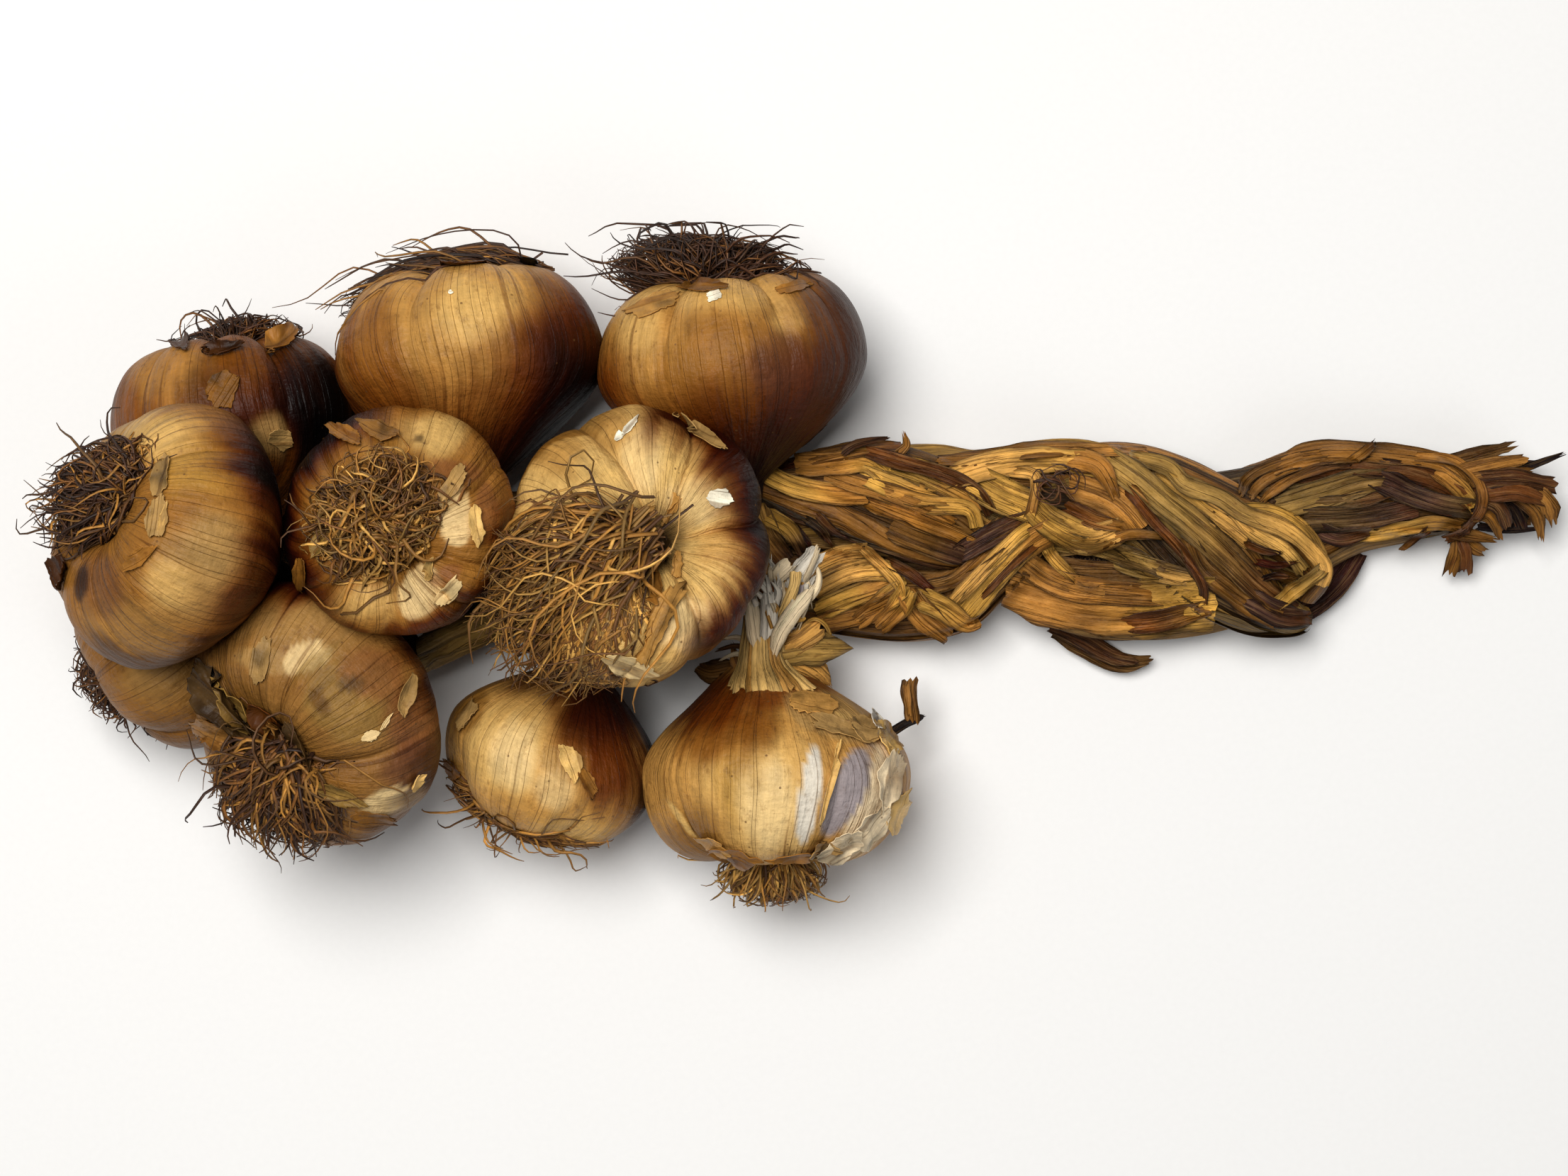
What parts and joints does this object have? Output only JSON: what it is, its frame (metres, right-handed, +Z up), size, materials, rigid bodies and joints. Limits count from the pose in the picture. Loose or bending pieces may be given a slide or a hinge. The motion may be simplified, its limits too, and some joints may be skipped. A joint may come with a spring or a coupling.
{
  "type": "garlic braid",
  "caption": "Plait of smoked garlic lying flat: papery bulbs with dried root tufts around a thick plait of dry leaves that narrows to a tied tail.",
  "frame": {"origin": "middle of the base of the whole braid's box, on the table it lies on", "axes": "+X runs along the plait from the bulbs to the cut leaf ends, +Y across it, +Z up from the table, out of the side that shows"},
  "size_m": [0.3732, 0.1608, 0.092],
  "materials": {
    "skin_amber": "smooth smoked papery skin, amber to mahogany, satin",
    "skin_tan": "smooth smoked papery skin, golden tan, satin",
    "skin_pale": "smooth smoked papery skin, cream with tan veins, satin",
    "dried_roots": "wiry dried roots, matte",
    "dry_leaf": "dry striated leaf, ochre, matte",
    "dark_leaf": "dry striated leaf, smoke brown, matte",
    "cut_stalk": "pale fibrous cut stalk, matte"
  },
  "bodies": {
    "root": {"bulb_01": "skin_amber", "bulb_02": "skin_tan", "bulb_03": "skin_pale", "bulb_04": "skin_tan", "bulb_05": "skin_amber", "bulb_06": "skin_amber", "bulb_07": "skin_tan", "bulb_08": "skin_pale", "bulb_09": "skin_pale", "bulb_10": "skin_tan", "roots_01": "dried_roots", "roots_02": "dried_roots", "roots_03": "dried_roots", "roots_04": "dried_roots", "roots_05": "dried_roots", "roots_06": "dried_roots", "roots_07": "dried_roots", "roots_08": "dried_roots", "roots_09": "dried_roots", "roots_10": "dried_roots", "strand_1": "dry_leaf", "strand_2": "dry_leaf", "strand_3": "dry_leaf", "top_stalk": "dry_leaf", "tail_top": "dark_leaf", "tail_middle": "dark_leaf", "frayed_end": "dark_leaf", "tassel": "dry_leaf", "loop_leaf": "dark_leaf", "hanging_leaf": "dark_leaf", "dry_stub": "dark_leaf", "neck_leaf_left": "dry_leaf", "neck_leaf_right": "dry_leaf", "cut_stalks": "cut_stalk", "side_stalk": "dark_leaf", "stalk_core": "dark_leaf"}
  },
  "joints": []
}
